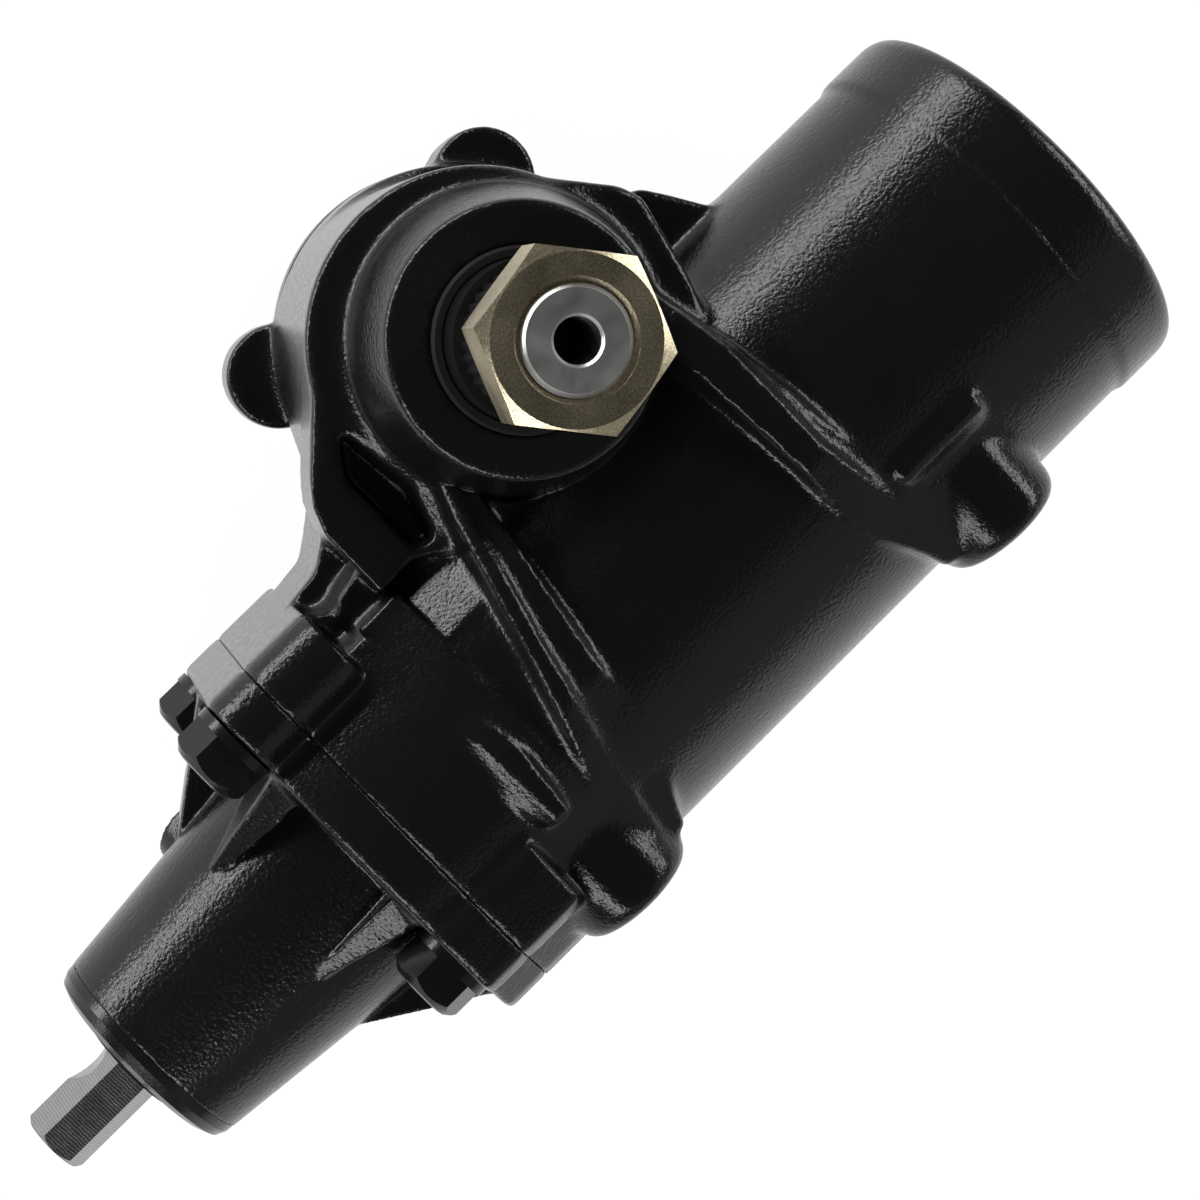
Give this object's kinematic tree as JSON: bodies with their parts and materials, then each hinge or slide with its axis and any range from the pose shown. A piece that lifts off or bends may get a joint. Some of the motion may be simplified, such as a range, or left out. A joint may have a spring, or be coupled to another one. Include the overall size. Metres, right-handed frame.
{
  "type": "steering gearbox",
  "caption": "Integral power steering gearbox: black cast housing, splined sector shaft with a large nut, bolted valve housing and a hexagonal input shaft.",
  "frame": {"origin": "middle of the line between the two front frame bolts, on the machined faces that bolt to the frame", "axes": "+X along the worm from the input end to the cylinder end, +Y away from the frame towards the sector shaft, +Z along the sector shaft towards its nut"},
  "size_m": [0.4211, 0.204, 0.2464],
  "materials": {
    "black_casting": "gloss black paint over a fine cast texture",
    "black_bolt": "gloss black paint",
    "steel": "machined steel",
    "yellow_zinc": "pale yellow zinc plating",
    "seal_rubber": "satin black",
    "ring_plastic": "dark filled fluoropolymer",
    "bronze": "turned bronze"
  },
  "bodies": {
    "housing": {"gear_housing": "black_casting", "valve_housing": "black_casting", "valve_housing_bolts": "black_bolt", "valve_joint_oring": "seal_rubber", "input_end_cap": "black_casting", "input_seal": "seal_rubber", "input_bearing": "steel", "worm_thrust_bearings": "steel", "end_plug": "black_casting", "end_plug_oring": "seal_rubber", "end_plug_snap_ring": "steel", "side_cover": "black_casting", "side_cover_gasket": "seal_rubber", "side_cover_bolts": "black_bolt", "adjuster_screw": "steel", "adjuster_locknut": "yellow_zinc", "cover_bushing": "bronze", "sector_bearing": "steel", "sector_seal": "seal_rubber", "sector_dust_boot": "seal_rubber"},
    "sector": {"sector_shaft": "steel", "pitman_nut": "yellow_zinc"},
    "piston": {"rack_piston": "steel", "piston_ring": "ring_plastic", "piston_plug": "steel", "ball_return_guide": "steel", "recirculating_balls": "steel"},
    "worm": {"worm_shaft": "steel", "valve_sleeve": "steel", "sleeve_rings": "ring_plastic", "torsion_bar": "steel", "drive_pin": "steel"},
    "input": {"input_shaft": "steel"}
  },
  "joints": [
    {"name": "sector_swing", "type": "hinge", "parent": "housing", "child": "sector", "pos_m": [0.00435, 0.1485, 0], "axis": [0, 0, 1], "range_deg": [-38, 38]},
    {"name": "piston_slide", "type": "slide", "parent": "housing", "child": "piston", "axis": [1, 0, 0], "range_m": [-0.0281, 0.0281]},
    {"name": "worm_spin", "type": "hinge", "parent": "housing", "child": "worm", "pos_m": [0, 0.064, -0.036], "axis": [1, 0, 0], "range_deg": [-673, 673]},
    {"name": "valve_twist", "type": "hinge", "parent": "worm", "child": "input", "pos_m": [-0.2, 0.064, -0.036], "axis": [1, 0, 0], "range_deg": [-5, 5], "stiffness_Nm_per_rad": 90}
  ],
  "couplings": [
    {"joint": "piston_slide", "follows": "sector_swing", "m_per_rad": 0.04225},
    {"joint": "worm_spin", "follows": "sector_swing", "ratio": -17.698}
  ]
}
